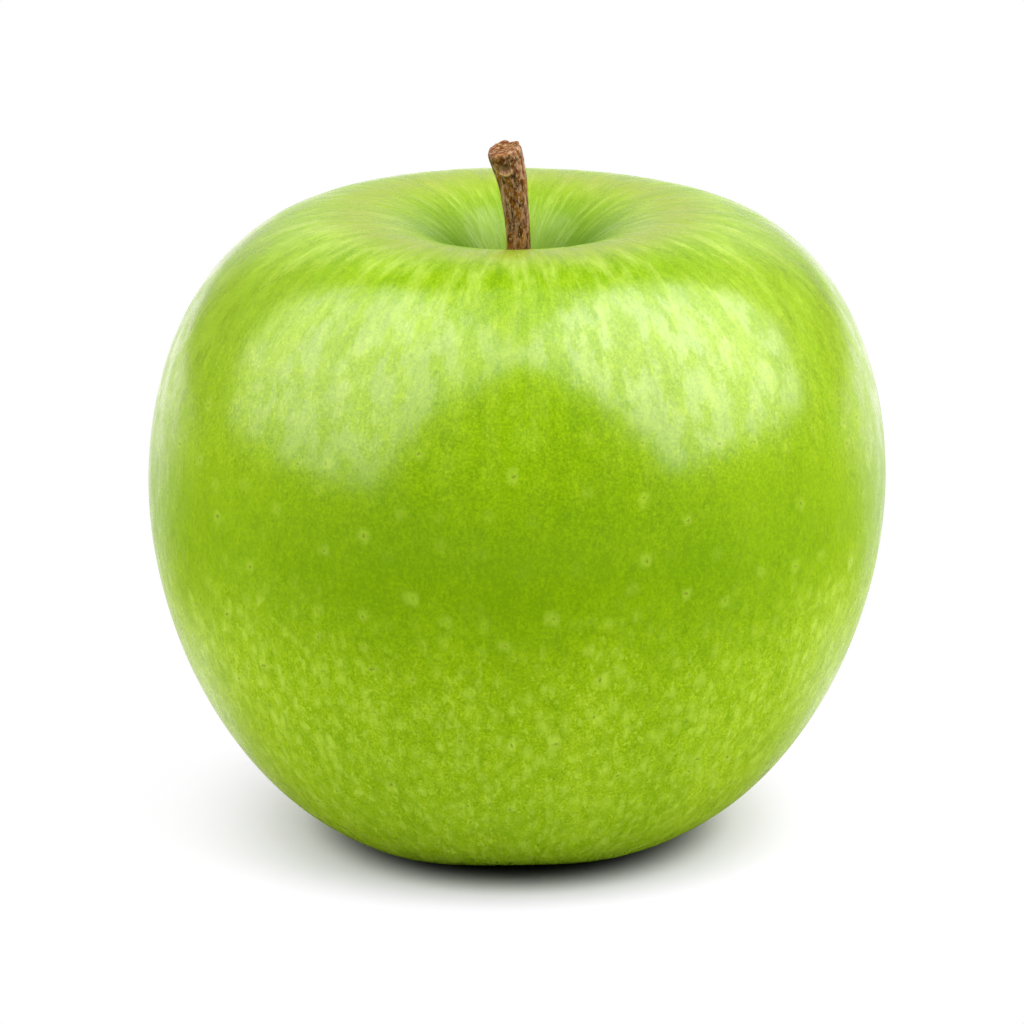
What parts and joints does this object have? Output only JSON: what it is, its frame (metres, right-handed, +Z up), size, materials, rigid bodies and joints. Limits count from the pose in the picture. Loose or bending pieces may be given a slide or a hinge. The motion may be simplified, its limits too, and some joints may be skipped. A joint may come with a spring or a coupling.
{
  "type": "green apple",
  "caption": "Whole green eating apple with a short woody stem in its stem cavity and a dried calyx in the base, standing on the lower ends of its lobes.",
  "frame": {"origin": "the middle of the base, on the surface that the apple stands on", "axes": "+Z up along the core towards the stem, +X to the right and +Y away from the viewer as the apple is pictured"},
  "size_m": [0.08, 0.08, 0.0765],
  "materials": {
    "skin": "waxy yellow-green apple skin with fine pale streaks and pores, satin gloss",
    "bark": "dry brown stem bark, matt, ridged along its length",
    "dried_sepal": "dry downy brown-green sepal, matt",
    "dried_flower": "withered dark brown stamens, matt"
  },
  "bodies": {
    "root": {"fruit": "skin", "stem": "bark", "sepal_1": "dried_sepal", "sepal_2": "dried_sepal", "sepal_3": "dried_sepal", "sepal_4": "dried_sepal", "sepal_5": "dried_sepal", "stamen_tuft": "dried_flower"}
  },
  "joints": []
}
